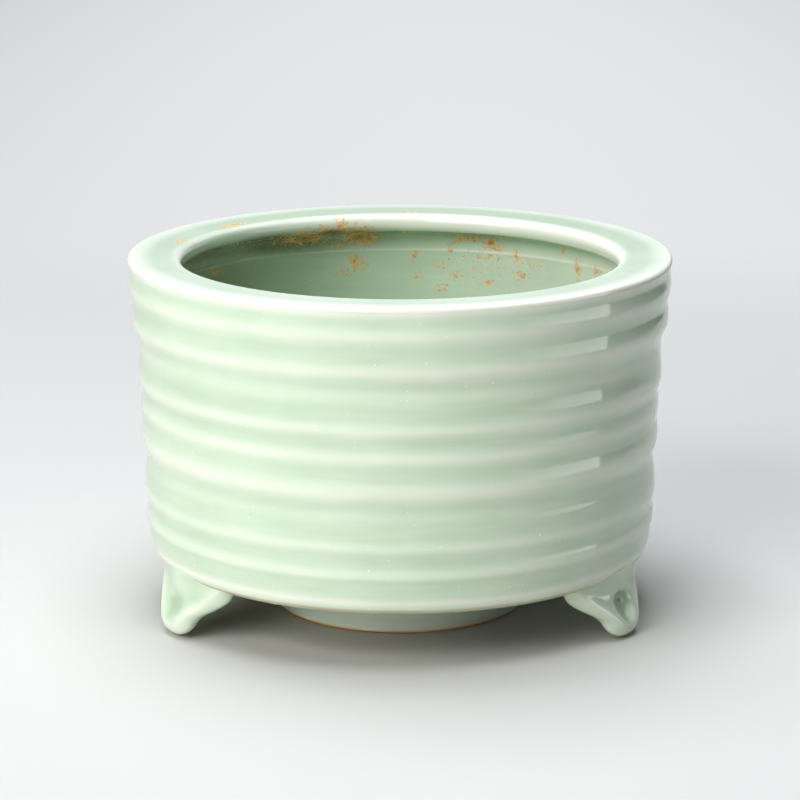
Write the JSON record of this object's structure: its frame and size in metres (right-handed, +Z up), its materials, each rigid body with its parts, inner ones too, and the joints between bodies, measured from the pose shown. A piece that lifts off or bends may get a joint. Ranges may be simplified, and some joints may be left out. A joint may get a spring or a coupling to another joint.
{
  "type": "tripod incense burner",
  "caption": "Ribbed cylindrical censer with a broad inturned mouth rim, a central foot ring and cloud-shaped feet, in pale green glazed stoneware.",
  "frame": {"origin": "on the vessel's axis, in the plane of the foot ring's bare lower face", "axes": "+Z up along the vessel's axis, -Y towards the viewer, between the front feet"},
  "size_m": [0.16, 0.16, 0.1056],
  "materials": {
    "glaze": "soft gloss celadon glaze",
    "bare_clay": "unglazed, fired orange-brown"
  },
  "bodies": {
    "root": {"rim_collar": "glaze", "ribbed_wall": "glaze", "base_slab": "glaze", "foot_ring": "bare_clay", "foot_back": "glaze", "foot_front_left": "glaze", "foot_front_right": "glaze"}
  },
  "joints": []
}
